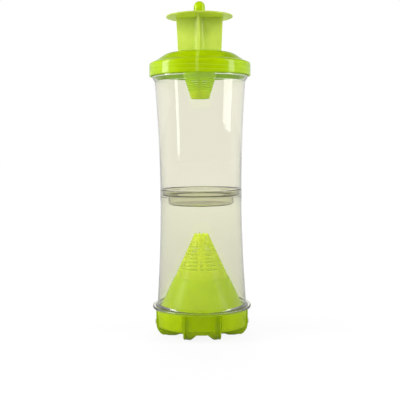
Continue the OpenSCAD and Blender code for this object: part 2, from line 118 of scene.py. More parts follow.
def capped(sections):
    # Sections (k, n, 3) are closed outlines in a row, joined by faces, and a fan of triangles closes each end
    k, n = sections.shape[:2]
    ends = sections[[0, -1]].mean(axis=1)
    ring = np.arange(n)
    first = np.stack([ring, np.roll(ring, -1), np.full(n, k * n)], -1)
    last = np.stack([ring + (k - 1) * n, np.full(n, k * n + 1), np.roll(ring, -1) + (k - 1) * n], -1)
    return np.concatenate([sections.reshape(-1, 3), ends]), [gridFaces(k, n, False, True), first, last]


def lug(profile, middle, width, steps=8):
    # An outline (r, z) carried through an arc: (r cos a, r sin a, z) for a from middle - width/2 to + width/2
    angle = (middle + width * np.linspace(-0.5, 0.5, steps + 1))[:, None]
    r, z = profile[:, 0], profile[:, 1]
    return capped(np.stack([r * np.cos(angle), r * np.sin(angle), z + 0 * angle], -1))


def lugs(inside, outside, low, turn=0):
    # The four lugs of a twist lock, between two radii, upwards from a level
    high = low + lock["height"]
    outline = [[inside, low], [outside, low], [outside, high], [inside, high]]
    corner = roundCorners(outline, [lock["round"]] * 4, 2)
    return [lug(corner, angle + turn, lock["arc"]) for angle in lock["angles"]]


def plate(outline, halfWidths, turn):
    # An outline (r, z) carried sideways across a plate, to each of its offsets, then turned about the axis
    side = np.asarray(halfWidths, float)[:, None]
    r, z = outline[:, 0], outline[:, 1]
    x = r * math.cos(turn) - side * math.sin(turn)
    y = r * math.sin(turn) + side * math.cos(turn)
    return capped(np.stack([x, y, z + 0 * side], -1))


def slottedWall(profile, bars, slotLevels, gapColumns, mostHalf=0.6):
    # A wall over (level, column). A bar's two columns stand at its angle -/+ asin(half its width / r), so it
    # keeps its width as r changes, up to mostHalf radians where bars meet. The columns between bars are
    # evenly spaced. Slots are left-out faces.
    r = profile[:, 0][:, None]
    middle, halfWidth = np.asarray(sorted(bars), float).T
    halfAngle = np.minimum(np.arcsin(np.minimum(halfWidth / r, 1)), mostHalf)
    left = middle - halfAngle
    right = middle + halfAngle
    nextLeft = np.roll(left, -1, axis=1)
    nextLeft[:, -1] += fullTurn
    share = np.linspace(0, 1, gapColumns + 1)[1:-1]
    between = right[..., None] + (nextLeft - right)[..., None] * share
    angle = np.concatenate([left[..., None], right[..., None], between], -1).reshape(len(profile), -1)
    points = np.stack([r * np.cos(angle), r * np.sin(angle), profile[:, 1][:, None] + 0 * angle], -1)
    isSlot = np.zeros((len(profile) - 1, angle.shape[1]), bool)
    isSlot[slotLevels] = np.arange(angle.shape[1]) % (gapColumns + 1) != 0
    return points, angle, [gridFaces(len(profile), angle.shape[1], False, True, ~isSlot)]


def turned(part, angle):
    # The same part turned about the axis
    points, faces = part
    c, s = math.cos(angle), math.sin(angle)
    return points @ np.array([[c, s, 0], [-s, c, 0], [0, 0, 1]]), faces


def makePiece(name, parts, body, material, replaces, sharpAngle=38):
    # Joins the parts into one mesh, merges doubles at seams and poles, and turns every face outwards
    starts = np.cumsum([0] + [len(points) for points, _ in parts])
    points = np.concatenate([points for points, _ in parts]) * mm
    faces = [f + start for (_, group), start in zip(parts, starts) for f in group]
    corners = np.concatenate([f.ravel() for f in faces])
    sizes = np.concatenate([np.full(len(f), f.shape[1]) for f in faces])
    mesh = bpy.data.meshes.new(name)
    mesh.vertices.add(len(points))
    mesh.vertices.foreach_set("co", points.ravel())
    mesh.loops.add(len(corners))
    mesh.loops.foreach_set("vertex_index", corners)
    mesh.polygons.add(len(sizes))
    mesh.polygons.foreach_set("loop_start", np.cumsum(sizes) - sizes)
    mesh.update(calc_edges=True)
    work = bmesh.new()
    work.from_mesh(mesh)
    bmesh.ops.remove_doubles(work, verts=work.verts, dist=2e-6)
    bmesh.ops.recalc_face_normals(work, faces=work.faces)
    work.to_mesh(mesh)
    work.free()
    mesh.polygons.foreach_set("use_smooth", np.ones(len(mesh.polygons), bool))
    mesh.set_sharp_from_angle(angle=math.radians(sharpAngle))
    piece = bpy.data.objects.new(name, mesh)
    bpy.context.scene.collection.objects.link(piece)
    mesh.materials.append(material)
    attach(piece, body)
    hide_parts(*replaces)
    print("made", name, len(mesh.polygons), "faces")
    return piece


def addSolidify(piece, thickness, inside=None):
    # The inner face may take a material of its own
    wall = piece.modifiers.new("wall", "SOLIDIFY")
    wall.thickness = thickness * mm
    wall.offset = -1
    if inside:
        piece.data.materials.append(inside)
        wall.material_offset = 1


def addBevel(piece, width, segments=2, angle=35):
    bevel = piece.modifiers.new("edges", "BEVEL")
    bevel.width = width * mm
    bevel.segments = segments
    bevel.limit_method = "ANGLE"
    bevel.angle_limit = math.radians(angle)
    bevel.use_clamp_overlap = True


def colour(hexCode):
    # sRGB hex to linear: ((c + 0.055) / 1.055) ^ 2.4, or c / 12.92 near black
    channels = [int(hexCode[i:i + 2], 16) / 255 for i in (1, 3, 5)]
    return [c / 12.92 if c <= 0.04045 else ((c + 0.055) / 1.055) ** 2.4 for c in channels] + [1]


def addNode(tree, kind, settings=None, links=None):
    node = tree.nodes.new(kind)
    for name, value in (settings or {}).items():
        if isinstance(name, str) and hasattr(node, name):
            setattr(node, name, value)
        else:
            node.inputs[name].default_value = value
    for name, source in (links or {}).items():
        tree.links.new(source, node.inputs[name])
    return node


def newMaterial(name):
    material = bpy.data.materials.new(name)
    material.use_nodes = True
    material.node_tree.nodes.clear()
    tree = material.node_tree
    place = addNode(tree, "ShaderNodeTexCoord").outputs["Object"]
    return material, tree, place


def finishMaterial(tree, shader):
    addNode(tree, "ShaderNodeOutputMaterial", links={"Surface": shader})


def noise(tree, place, size, detail=2.0, rough=0.5):
    # Soft noise whose blotches are about that many millimetres across
    values = {"Scale": 1 / (size * mm), "Detail": detail, "Roughness": rough}
    return addNode(tree, "ShaderNodeTexNoise", values, {"Vector": place}).outputs["Fac"]


def spread(tree, value, low, high, fromLow=0.3, fromHigh=0.7):
    # Stretches a value into a range
    return addNode(tree, "ShaderNodeMapRange", {"From Min": fromLow, "From Max": fromHigh, "To Min": low,
                                                "To Max": high}, {"Value": value}).outputs["Result"]


def mixColours(tree, factor, a, b, kind="MIX"):
    node = addNode(tree, "ShaderNodeMix", {"data_type": "RGBA", "blend_type": kind})
    for socket, source in ((node.inputs[0], factor), (node.inputs[6], a), (node.inputs[7], b)):
        if isinstance(source, (list, float, int)):
            socket.default_value = source
        else:
            tree.links.new(source, socket)
    return node.outputs[2]


def mathNode(tree, operation, a, b=None, c=None):
    node = addNode(tree, "ShaderNodeMath", {"operation": operation})
    for socket, source in zip(node.inputs, (a, b, c)):
        if isinstance(source, (float, int)):
            socket.default_value = source
        elif source is not None:
            tree.links.new(source, socket)
    return node.outputs[0]


def bump(tree, height, depth):
    # Relief of that depth in millimetres
    return addNode(tree, "ShaderNodeBump", {"Distance": depth * mm, "Strength": 1.0},
                   {"Height": height}).outputs["Normal"]


def limePolypropylene(name, deep="#A9C200", light="#B3CC00", thread=False, through=0.22,
                      gloss=(0.09, 0.16), passed=0.5, paintedLightTop=None):
    # Injection-moulded translucent polypropylene: light sinks in and some comes out behind, so thin and
    # edge-lit places glow greener. The skin is glossy, and slow flow marks change its shade and gloss.
    # Half of the light passes on through the wall, tinted, so what is behind it stays lit.
    material, tree, place = newMaterial(name)
    flow = noise(tree, place, 14, 3)
    shade = mixColours(tree, spread(tree, flow, 0, 1), colour(deep), colour(light))
    fine = noise(tree, place, 0.7, 2)
    # Painted light: from that level up the colour steps, then ramps over 20 mm to a paler shade, a painted
    # glow for the upper part of the piece
    if paintedLightTop:
        level = addNode(tree, "ShaderNodeSeparateXYZ", links={0: place}).outputs[2]
        start = paintedLightTop["level"] * mm
        step = spread(tree, level, 0.0, 0.45, start - 0.3 * mm, start + 0.3 * mm)
        up = mathNode(tree, "ADD", step, spread(tree, level, 0.0, 0.55, start, start + 20 * mm))
        shade = mixColours(tree, up, shade, colour(paintedLightTop["shade"]))
    if thread:
        shade = threadMarks(tree, place, shade)
    surface = addNode(tree, "ShaderNodeBsdfPrincipled", {
        "IOR": 1.49, "Specular IOR Level": 0.4, "Subsurface Weight": 0.3,
        "Subsurface Radius": (1.0, 1.0, 0.1),
        "Subsurface Scale": 4 * mm,
    }, {
        "Base Color": shade, "Roughness": spread(tree, flow, *gloss), "Normal": bump(tree, fine, 0.012),
    })
    behind = addNode(tree, "ShaderNodeBsdfTranslucent", links={"Color": shade})
    both = addNode(tree, "ShaderNodeMixShader", {0: through}, {1: surface.outputs[0], 2: behind.outputs[0]})
    path = addNode(tree, "ShaderNodeLightPath").outputs
    passing = mathNode(tree, "MULTIPLY", path["Is Shadow Ray"], passed)
    tinted = addNode(tree, "ShaderNodeBsdfTransparent", {"Color": colour("#E0F450")})
    whole = addNode(tree, "ShaderNodeMixShader", links={0: passing, 1: both.outputs[0], 2: tinted.outputs[0]})
    finishMaterial(tree, whole.outputs[0])
    return material


def threadMarks(tree, place, shade):
    # The screw thread and the webs behind the cap's skirt show through as faint lines. A thread's line lies
    # where (z + rise * angle) crosses a level, and a web's strip where |x| or |y| is under half its width.
    marks = {"levels": (264.0, 260.0), "lineHeight": 0.35, "rise": 1.2, "webHalf": 1.4}
    turn = addNode(tree, "ShaderNodeMapping", {"vector_type": "TEXTURE", "Rotation": (0, 0, topTurn)},
                   {"Vector": place}).outputs[0]
    parts = addNode(tree, "ShaderNodeSeparateXYZ", links={0: turn}).outputs
    angle = mathNode(tree, "ARCTAN2", parts[0], mathNode(tree, "MULTIPLY", parts[1], -1.0))
    level = mathNode(tree, "MULTIPLY_ADD", angle, marks["rise"] * mm, parts[2])
    onDome = spread(tree, parts[2], 0.0, 1.0, (rimTop - 0.2) * mm, (rimTop + 0.2) * mm)
    for z in marks["levels"]:
        off = mathNode(tree, "ABSOLUTE", mathNode(tree, "SUBTRACT", level, z * mm))
        line = spread(tree, off, 1.0, 0.0, 0.2 * marks["lineHeight"] * mm, marks["lineHeight"] * mm)
        line = mathNode(tree, "MULTIPLY", line, mathNode(tree, "SUBTRACT", 1.0, onDome))
        shade = mixColours(tree, mathNode(tree, "MULTIPLY", line, 0.6), shade, colour("#C4DA52"))
    fromX, fromY = [mathNode(tree, "ABSOLUTE", part) for part in (parts[0], parts[1])]
    across = mathNode(tree, "MINIMUM", fromX, fromY)
    strip = spread(tree, across, 1.0, 0.0, marks["webHalf"] * mm, (marks["webHalf"] + 0.3) * mm)
    shade = mixColours(tree, mathNode(tree, "MULTIPLY", strip, 0.32), shade, colour("#CFE06A"))
    return shade


def thinPolypropylene(name, skin="#DAE678", deep="#CCDA62", through=0.5):
    # The same polypropylene in sheets about 2 mm thick: half of the light that it scatters comes out behind
    material, tree, place = newMaterial(name)
    flow = noise(tree, place, 18, 3)
    shade = mixColours(tree, spread(tree, flow, 0, 1), colour(skin), colour(deep))
    normal = bump(tree, noise(tree, place, 0.8, 2), 0.01)
    front = addNode(tree, "ShaderNodeBsdfPrincipled", {"IOR": 1.49},
                    {"Base Color": shade, "Roughness": spread(tree, flow, 0.16, 0.26), "Normal": normal})
    behind = addNode(tree, "ShaderNodeBsdfTranslucent", links={"Color": shade, "Normal": normal})
    both = addNode(tree, "ShaderNodeMixShader", {0: through}, {1: front.outputs[0], 2: behind.outputs[0]})
    finishMaterial(tree, both.outputs[0])
    return material


def clearStyrene(name, tint="#F8F7EC"):
    # Polished injection-moulded styrene: clear with a faint cream cast, sharp highlights, and slow ripples
    # where the melt flowed. Shadow rays pass straight through, so what is inside stays lit.
    material, tree, place = newMaterial(name)
    ripple = noise(tree, place, 9, 1)
    glass = addNode(tree, "ShaderNodeBsdfPrincipled", {
        "Base Color": colour(tint), "IOR": 1.56, "Transmission Weight": 1.0,
    }, {
        "Roughness": spread(tree, ripple, 0.015, 0.05), "Normal": bump(tree, ripple, 0.02),
    })
    path = addNode(tree, "ShaderNodeLightPath")
    clearWay = addNode(tree, "ShaderNodeBsdfTransparent", {"Color": colour("#FEFEFA")})
    both = addNode(tree, "ShaderNodeMixShader", links={
        0: path.outputs["Is Shadow Ray"], 1: glass.outputs[0], 2: clearWay.outputs[0]})
    finishMaterial(tree, both.outputs[0])
    return material


def naturalPolypropylene(name):
    # Undyed polypropylene from a spark-eroded mould: milky, soft sheen, with a fine even grain
    material, tree, place = newMaterial(name)
    grain = noise(tree, place, 0.5, 3, 0.6)
    shade = mixColours(tree, spread(tree, noise(tree, place, 6), 0, 1), colour("#E4E2D6"), colour("#EFEEE6"))
    surface = addNode(tree, "ShaderNodeBsdfPrincipled", {
        "IOR": 1.49, "Subsurface Weight": 0.3, "Subsurface Radius": (1.0, 0.95, 0.85),
        "Subsurface Scale": 2 * mm,
    }, {"Base Color": shade, "Roughness": spread(tree, grain, 0.38, 0.5), "Normal": bump(tree, grain, 0.02)})
    finishMaterial(tree, surface.outputs[0])
    return material


def cottonWadding(name):
    # Pressed cotton: matt white fibres a tenth of a millimetre thick, drawn three times as coarse to show
    material, tree, place = newMaterial(name)
    stretched = addNode(tree, "ShaderNodeMapping", {"Scale": (1.0, 0.25, 1.0)}, {"Vector": place}).outputs[0]
    fibres = noise(tree, stretched, 0.3, 6, 0.7)
    tufts = noise(tree, place, 2.2, 4)
    height = mathNode(tree, "ADD", fibres, tufts)
    shade = mixColours(tree, spread(tree, tufts, 0, 1), colour("#E2DFD6"), colour("#F6F4EE"))
    surface = addNode(tree, "ShaderNodeBsdfPrincipled", {
        "Roughness": 0.95, "Sheen Weight": 0.4, "Specular IOR Level": 0.15,
    }, {"Base Color": shade, "Normal": bump(tree, height, 0.35)})
    finishMaterial(tree, surface.outputs[0])
    return material


lime = limePolypropylene("moulded_lime_polypropylene")
limeCap = limePolypropylene("moulded_lime_polypropylene_cap", thread=True, through=0.26, gloss=(0.05, 0.1),
                            passed=0.85)
# The funnel: a brighter copy of the lime, painted light that stands in for the light the cap keeps off it
limeFunnel = limePolypropylene("moulded_lime_polypropylene_funnel_painted_light", "#ECF800", "#F4FE04", through=0.35)
# The cone: a brighter copy of the lime, painted light for its glow, with a painted lighter upper part above a
# given level
limeCone = limePolypropylene("moulded_lime_polypropylene_cone_painted_light", "#D8F000", "#E0F804", through=0.4,
                             gloss=(0.18, 0.25), passed=0.4,
                             paintedLightTop={"level": baseTop + 31, "shade": "#F2FC44"})
# The feet: a darker copy of the lime, painted shade for the recessed foot panels
limeFeetPaintedShade = limePolypropylene("moulded_lime_polypropylene_feet_painted_shade", "#94AE00", "#9EB800")
limeThin = thinPolypropylene("thin_lime_polypropylene")
# Light gathers inside the slotted cone, so its inner face looks paler
limeInside = thinPolypropylene("lit_inner_wall_of_lime_polypropylene", "#F6FAC8", "#F0F6B4")
clear = clearStyrene("polished_clear_styrene")
clearLow = clearStyrene("polished_clear_styrene_low", "#ECECDE")
milky = naturalPolypropylene("milky_polypropylene")
cotton = cottonWadding("pressed_cotton")
print("materials made")


chamber = {
    "wall": 1.2, "waist": 40.7, "foot": 44.6, "head": 44.8, "bend": 1.8,
    "flange": 49.5, "flangeThick": 2.4, "skirt": 43.7, "skirtWall": 1.1, "collarInside": 39.65,
    "neckOut": 2.6, "neckHeight": 12, "plug": 38.55, "plugDeep": 6, "well": 32.7,
    "baseLugOut": 44.6, "plugLugUp": 0.4, "neckLugWide": 1.0,
}


cap = {
    "wall": 1.4, "plateau": 27.5, "domeSlope": 34, "domeRadius": 16, "lipThick": 1.3, "lip": 26.5,
    "mouth": 20.4, "throat": 6.7, "funnelWall": 1.2, "cornerRound": 2.6, "webThick": 3,
    "webDeep": 5.4, "lugUp": 0.3, "lugWide": 1.05,
}


def flare(end, share):
    # Radius from the waist to an end of a chamber: waist + (end - waist) * share ^ bend
    return chamber["waist"] + (end - chamber["waist"]) * share ** chamber["bend"]


def buildLowerChamber():
    c = chamber
    wall = c["wall"]
    skirtLow = heights("lower_chamber")[0]
    wallLow = baseTop + c["flangeThick"] + 2.4
    collarLow = collarTop - c["plugDeep"] - 1
    share = np.linspace(0, 1, 15)
    side = np.stack([flare(c["foot"], 1 - share), wallLow + (collarLow - wallLow) * share], -1)
    inner = side[::-1] - [wall, 0]
    outline = np.concatenate([
        [[c["skirt"] - c["skirtWall"], skirtLow], [c["skirt"], skirtLow], [c["skirt"], baseTop],
         [c["flange"], baseTop], [c["flange"], baseTop + c["flangeThick"]],
         [c["foot"] + 1.0, baseTop + c["flangeThick"]]],
        side,
        [[c["waist"], collarTop], [c["collarInside"], collarTop], [c["collarInside"], collarLow + 0.4]],
        inner,
        [[c["skirt"] - c["skirtWall"], baseTop + 1]],
    ])
    fillets = np.concatenate([
        [0.4, 0.4, 0.5, 1.0, 1.0, 1.6], np.zeros(len(side)), [0.45, 0.45, 0.3], np.zeros(len(side)), [0.8]])
    parts = [revolve(roundCorners(outline, fillets), 192)]
    parts += lugs(c["skirt"] - lock["sunk"], c["baseLugOut"], skirtLow)
    plugLugTop = collarTop - c["plugDeep"] + c["plugLugUp"] + lock["height"]
    parts += lugs(c["plug"] + lock["gap"], c["collarInside"] + lock["sunk"], plugLugTop + lock["gap"])
    makePiece("clearLowerChamber", parts, "lower", clearLow, ["lower_chamber"])


def buildUpperChamber():
    c = chamber
    wall = c["wall"]
    wellLow = heights("upper_chamber")[0]
    floor = collarTop - c["plugDeep"]
    tube = collarTop + 0.2
    wallTop = rimTop - c["neckHeight"] - 4
    neck = c["head"] + c["neckOut"]
    share = np.linspace(0, 1, 15)
    side = np.stack([flare(c["head"], share) - 0.2 * (1 - share), tube + (wallTop - tube) * share], -1)
    inner = side[::-1] - [wall, 0]
    outline = np.concatenate([
        [[0, wellLow], [c["well"], wellLow], [c["well"], floor], [c["plug"], floor], [c["plug"], tube]],
        side,
        [[neck, rimTop - c["neckHeight"]], [neck, rimTop], [neck - wall, rimTop],
         [neck - wall, rimTop - c["neckHeight"] + 0.5]],
        inner,
        [[c["plug"] - wall, tube - 0.6], [c["plug"] - wall, floor + wall], [c["well"] - wall, floor + wall],
         [c["well"] - wall, wellLow + wall], [0, wellLow + wall]],
    ])
    fillets = np.concatenate([
        [0, 3.2, 0.8, 1.2, 0.3], [0.8], np.zeros(len(side) - 1), [1.2, 0.45, 0.45, 1.0], np.zeros(len(side)),
        [0.4, 0.8, 0.8, 2.0, 0]])
    parts = [revolve(roundCorners(outline, fillets), 192)]
    capLugTop = heights("top_cap")[0] + cap["lugUp"] + lock["height"]
    parts += lugs(neck - lock["sunk"], neck + c["neckLugWide"], capLugTop + lock["gap"], topTurn)
    parts += lugs(c["plug"] - lock["sunk"], c["collarInside"] - lock["gap"], floor + c["plugLugUp"])
    makePiece("clearUpperChamber", parts, "upper", clear, ["upper_chamber"])


buildLowerChamber()
buildUpperChamber()


def funnelOut(z):
    # Outside radius of the funnel: a straight slope from its throat to its mouth
    low = heights("entry_funnel")[0]
    return cap["throat"] + cap["funnelWall"] + (cap["mouth"] - cap["throat"]) * (z - low) / (deckTop - low)


def buildCap():
    c = cap
    slope = math.radians(c["domeSlope"])
    outer = reach("top_cap") - 0.02
    skirtLow = heights("top_cap")[0]
    wall = c["wall"]
    bend = np.linspace(0, slope, 9)
    dome = np.stack([c["plateau"] + c["domeRadius"] * np.sin(bend),
                     deckTop - c["domeRadius"] * (1 - np.cos(bend))], -1)
    shoulder = outer - 5.7
    shoulderZ = dome[-1, 1] - (shoulder - dome[-1, 0]) * math.tan(slope)
    hole = funnelOut(deckTop) + 0.15
    under = deckTop - c["lipThick"] - wall
    insideR = shoulder - wall * math.sin(slope)
    insideZ = shoulderZ - wall * math.cos(slope)
    outline = np.concatenate([
        [[hole, under], [hole, deckTop - c["lipThick"]], [c["lip"] + 0.15, deckTop - c["lipThick"]],
         [c["lip"] + 0.15, deckTop]],
        dome,
        [[shoulder, shoulderZ], [outer, rimTop + 1.9], [outer, skirtLow], [outer - wall, skirtLow],
         [outer - wall, rimTop], [shoulder + 1.1, rimTop], [shoulder + 1.1, shoulderZ - 1.9 * wall],
         [insideR, insideZ], [insideR - (under - insideZ) / math.tan(slope), under]],
    ])
    fillets = np.concatenate([
        [0.3, 0.15, 0.2, 0.25], np.zeros(len(dome)),
        [3.0, c["cornerRound"], 0.6, 0.3, 0.3, 0.3, 0.4, 0.5, 2.0]])
    parts = [revolve(roundCorners(outline, fillets), 192)]
    low = rimTop - c["webDeep"]
    webOut = reach("upper_chamber") - 3.4    # clear of the neck's wall
    web = [[hole + 1, low], [webOut, low], [webOut, rimTop + 0.8], [outer - 6.4, rimTop + 3],
           [c["plateau"] + 6, deckTop - 2.2], [c["plateau"], deckTop - 1.6], [hole + 1, deckTop - 1.6]]
    outline = roundCorners(web, [0.3] * len(web), 2)
    half = c["webThick"] / 2
    for quarter in range(4):
        parts.append(plate(outline, [-half, half], math.radians(90 * quarter)))
    parts += lugs(outer - wall - c["lugWide"], outer - wall + lock["sunk"], skirtLow + c["lugUp"])
    parts = [turned(part, topTurn) for part in parts]
    makePiece("limeCap", parts, "cap", limeCap, ["top_cap"])


funnel = {"rows": 6, "pitch": 2.05, "slot": 1.1, "firstSlot": 7.6, "rib": 3.0, "strip": 0.9, "ribProud": 0.5}


def buildFunnel():
    f = funnel
    low = heights("entry_funnel")[0]
    first = low + f["firstSlot"]
    edges = (first + np.arange(f["rows"])[:, None] * f["pitch"] + [0, f["slot"]]).ravel()
    webs = (edges[1:-1:2] + edges[2::2]) / 2
    plain = np.linspace(edges[-1] + 1.5, deckTop - cap["lipThick"] - 0.8, 9)
    z = np.sort(np.concatenate([[low, low + 0.4, low + 3], edges, webs, plain]))
    proud = np.where(np.isin(z, webs), 0.22, 0.0)
    wallLine = np.stack([funnelOut(z) + proud, z], -1)
    mouthOut = funnelOut(deckTop)
    lipLine = [[mouthOut + 0.25, deckTop - 0.75], [mouthOut + 0.9, deckTop - 0.12],
               [mouthOut + 1.6, deckTop], [cap["lip"] - 0.3, deckTop], [cap["lip"], deckTop - 0.25]]
    profile = np.concatenate([wallLine, lipLine])
    slotLevels = [int(i) for i in np.flatnonzero(np.isin(z, edges)) if np.isin(z[i], edges[::2])]
    bars = [(math.radians(90 * k), f["rib"] / 2) for k in range(4)]
    bars += [(math.radians(45 + 90 * k), f["strip"] / 2) for k in range(4)]
    points, _, faces = slottedWall(profile, bars, slotLevels, 12)
    parts = [turned((points.reshape(-1, 3), faces), topTurn)]
    wall = makePiece("limeFunnel", parts, "cap", limeFunnel, ["entry_funnel"])
    addSolidify(wall, cap["funnelWall"])
    addBevel(wall, 0.12, 1)
    ribs = []
    start, end = low + 0.3, deckTop - 8
    outline = np.array([[funnelOut(start) - 0.6, start], [funnelOut(start) + f["ribProud"], start + 1],
                        [funnelOut(end - 2) + f["ribProud"], end - 2], [funnelOut(end) - 0.6, end]])
    outline = roundCorners(outline, [0.2] * 4, 2)
    half = f["rib"] / 2
    for quarter in range(4):
        ribs.append(turned(plate(outline, [-half, half], math.radians(90 * quarter)), topTurn))
    rib = makePiece("limeFunnelRibs", ribs, "cap", limeFunnel, [])
    addBevel(rib, 0.25, 2)


roof = {"hole": 2.55, "holeRound": 0.1, "edgeRound": 0.62}
vanes = {"foot": 21.4, "top": 23.0, "thick": 2.3, "draft": 0.9, "column": 5.0, "tipRound": 0.5,
         "rootRound": 0.9, "tailInside": 1.6, "barbLevel": 9.5, "barbHeight": 1.6, "barbWidth": 2.0}


def buildVanes():
    # At each level the outline is a cross: blades as long as the level's radius, and a column between them
    v = vanes
    low, high = heights("vane_cross")
    below = np.linspace(low, deckTop, 8)
    above = np.linspace(deckTop, high, 14)
    z = np.concatenate([below, above])
    length = np.concatenate([funnelOut(below) - v["tailInside"],
                             v["foot"] + (v["top"] - v["foot"]) * (above - deckTop) / (high - deckTop)])
    half = (v["thick"] + v["draft"] * (high - z) / (high - low)) / 2
    column = v["column"] + 0.3 - 0.5 * (z - low) / (high - low)
    rootAngle = np.arcsin(half / column)
    quarters = []
    for quarter in range(4):
        start = quarter * math.pi / 2
        share = np.linspace(0, 1, 7)
        angle = rootAngle[:, None] + (math.pi / 2 - 2 * rootAngle[:, None]) * share
        local = np.concatenate([
            np.stack([length, -half], -1)[:, None], np.stack([length, half], -1)[:, None],
            np.stack([column[:, None] * np.cos(angle), column[:, None] * np.sin(angle)], -1),
        ], axis=1)
        c, s = math.cos(start), math.sin(start)
        quarters.append(local @ np.array([[c, s], [-s, c]]))
    cross = np.concatenate(quarters, axis=1)
    fillets = np.tile([v["tipRound"], v["tipRound"], v["rootRound"]] + [0] * 5 + [v["rootRound"]], 4)
    cross = roundCorners(cross, np.broadcast_to(fillets, cross.shape[:2]), 3)
    sections = np.concatenate([cross, np.broadcast_to(z[:, None, None], cross.shape[:2] + (1,))], -1)
    parts = [capped(sections)]
    barbZ = deckTop - v["barbLevel"]
    tip = funnelOut(barbZ) - 0.15
    barb = [[tip - 3, barbZ], [tip, barbZ + 0.5], [tip, barbZ + v["barbHeight"]], [tip - 3, barbZ + 2.2]]
    for quarter in range(4):
        parts.append(plate(roundCorners(barb, [0.1, 0.3, 0.2, 0.1], 2),
                           [-v["barbWidth"] / 2, v["barbWidth"] / 2], math.radians(90 * quarter)))
    parts = [turned(part, topTurn) for part in parts]
    makePiece("limeVanes", parts, "cap", limeThin, ["vane_cross"])


def buildRoofDisc():
    outer = reach("roof_disc")
    hole = roof["hole"]
    outline = [[hole, roofLow], [outer, roofLow], [outer, roofTop], [hole, roofTop]]
    fillets = [roof["holeRound"], roof["edgeRound"], roof["edgeRound"], roof["holeRound"]]
    rings = roundCorners(outline, fillets, 6)
    makePiece("limeRoofDisc", [revolve(rings, 192)], "cap", limeThin, ["roof_disc"])


buildCap()
buildFunnel()
buildVanes()
buildRoofDisc()


cone = {"wall": 1.4, "foot": 41.8, "rim": 1.4, "rimOut": 0.5, "topOpening": 5.4, "ledgeShare": 0.415,
        "ledge": 0.6, "rows": 8, "pitchShare": 0.0468, "slot": 1.2, "firstSlotShare": 0.12, "bar": 2.6,
        "pairHalf": 7.5, "teeth": 10, "notch": 2.0, "notchSlope": 3.2, "crownDeep": 2.6}


def buildCone():
    c = cone
    top = heights("entry_cone")[1]
    height = top - baseTop
    slope = (c["foot"] - c["topOpening"] - c["wall"]) / height
    ledge = baseTop + c["ledgeShare"] * height
    first = ledge + c["firstSlotShare"] * height
    edges = (first + np.arange(c["rows"])[:, None] * c["pitchShare"] * height + [0, c["slot"]]).ravel()
    z = np.concatenate([
        np.linspace(ledge + 0.15, first - 1, 4), edges, np.linspace(edges[-1] + 1.2, top - 2.6, 3),
        np.linspace(top - 2.0, top, 4)])
    sinks = c["ledge"] * (top - z) / (top - ledge)
    upper = np.stack([c["foot"] - slope * (z - baseTop) - sinks, z], -1)
    rim = c["foot"] + c["rimOut"]
    lowZ = np.linspace(baseTop + c["rim"] + 0.3, ledge - c["ledge"] - 0.2, 6)
    lower = np.stack([c["foot"] - slope * (lowZ - baseTop), lowZ], -1)
    foot = [[rim - 0.15, baseTop + 0.02], [rim, baseTop + 0.2], [rim, baseTop + c["rim"] - 0.2],
            [rim - 0.2, baseTop + c["rim"]]]
    profile = np.concatenate([foot, lower, [[lower[-1, 0] - 0.15, ledge - c["ledge"]]], upper])
    slotLevels = [int(np.argmin(abs(profile[:, 1] - edge))) for edge in edges[::2]]
    bars = [(math.radians(90 * k + s * c["pairHalf"]), c["bar"] / 2) for k in range(4) for s in (-1, 1)]
    bars += [(math.radians(45 + 90 * k), c["bar"] / 2) for k in range(4)]
    mostHalf = math.radians(c["pairHalf"] - 0.4)
    points, angle, faces = slottedWall(profile, bars, slotLevels, 14, mostHalf)
    # The crown: each notch is a V, as deep as notch * (1 - notchSlope * share of a tooth from its middle)
    phase = angle * c["teeth"] / fullTurn
    off = abs(phase - np.floor(phase) - 0.5)
    depth = c["notch"] * np.clip(1 - c["notchSlope"] * off, 0, 1)
    crown = np.clip((points[..., 2] - top) / c["crownDeep"] + 1, 0, 1)
    points[..., 2] -= depth * crown
    shell = [(points.reshape(-1, 3), faces)]
    wall = makePiece("limeCone", shell, "base", limeCone, ["entry_cone"])
    addSolidify(wall, c["wall"], limeInside)
    addBevel(wall, 0.14, 1)


buildCone()


softened = {
    "base_ring": (lime, 0.25), "foot_cross": (limeFeetPaintedShade, 0.3), "hanger_knob": (lime, 0.3),
    "attractant_cup": (milky, 0.2), "cup_lid": (milky, 0.2),
}
for nodeName, (material, width) in softened.items():
    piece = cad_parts[nodeName]
    for slotIndex in range(len(piece.material_slots)):
        piece.material_slots[slotIndex].material = material
    weld = piece.modifiers.new("weld", "WELD")
    weld.merge_threshold = 1e-6
    addBevel(piece, width)
print("CAD pieces finished")


pad = {"crown": 0.9, "edge": 2.2}


def buildPad():
    # A pressed disc of wadding: its rim is a half ellipse, its top swells as (1 - (r / R)^2), and shallow
    # dimples come from a product of two slow waves
    p = pad
    low, high = heights("cotton_pad")
    outer = reach("cotton_pad")
    rise = np.linspace(0, 1, 14)
    bottom = np.stack([np.linspace(0, outer - p["edge"], 10), np.full(10, low)], -1)
    swing = np.linspace(-math.pi / 2, math.pi / 2, 16)[1:-1]
    middle = (low + high - p["crown"]) / 2
    rimZ = middle + (high - p["crown"] - low) / 2 * np.sin(swing)
    rim = np.stack([outer - p["edge"] * (1 - np.cos(swing)), rimZ], -1)
    topR = (outer - p["edge"]) * (1 - rise)
    top = np.stack([topR, high - p["crown"] * (topR / outer) ** 2 - p["crown"] * 0.15], -1)
    profile = np.concatenate([bottom, rim, top])
    points, faces = revolve(profile, 72)
    x, y, z = points.T
    dimple = 0.35 * np.sin(x * 0.9 + 1) * np.sin(y * 1.1 + 2) * (z - low) / (high - low)
    points = np.stack([x, y, np.clip(z + dimple, low, high)], -1)
    cushion = makePiece("cottonPad", [(points, faces)], "cup", cotton, ["cotton_pad"])


buildPad()


studio = {"floorSize": 14.0, "floorNear": 0.89, "floorFar": 1.0, "floorGlow": 0.2, "floorBack": 0.6,
          "worldBright": 0.95, "worldDark": 0.06, "stripRadiance": 8.0, "insideLevel": 0.55}


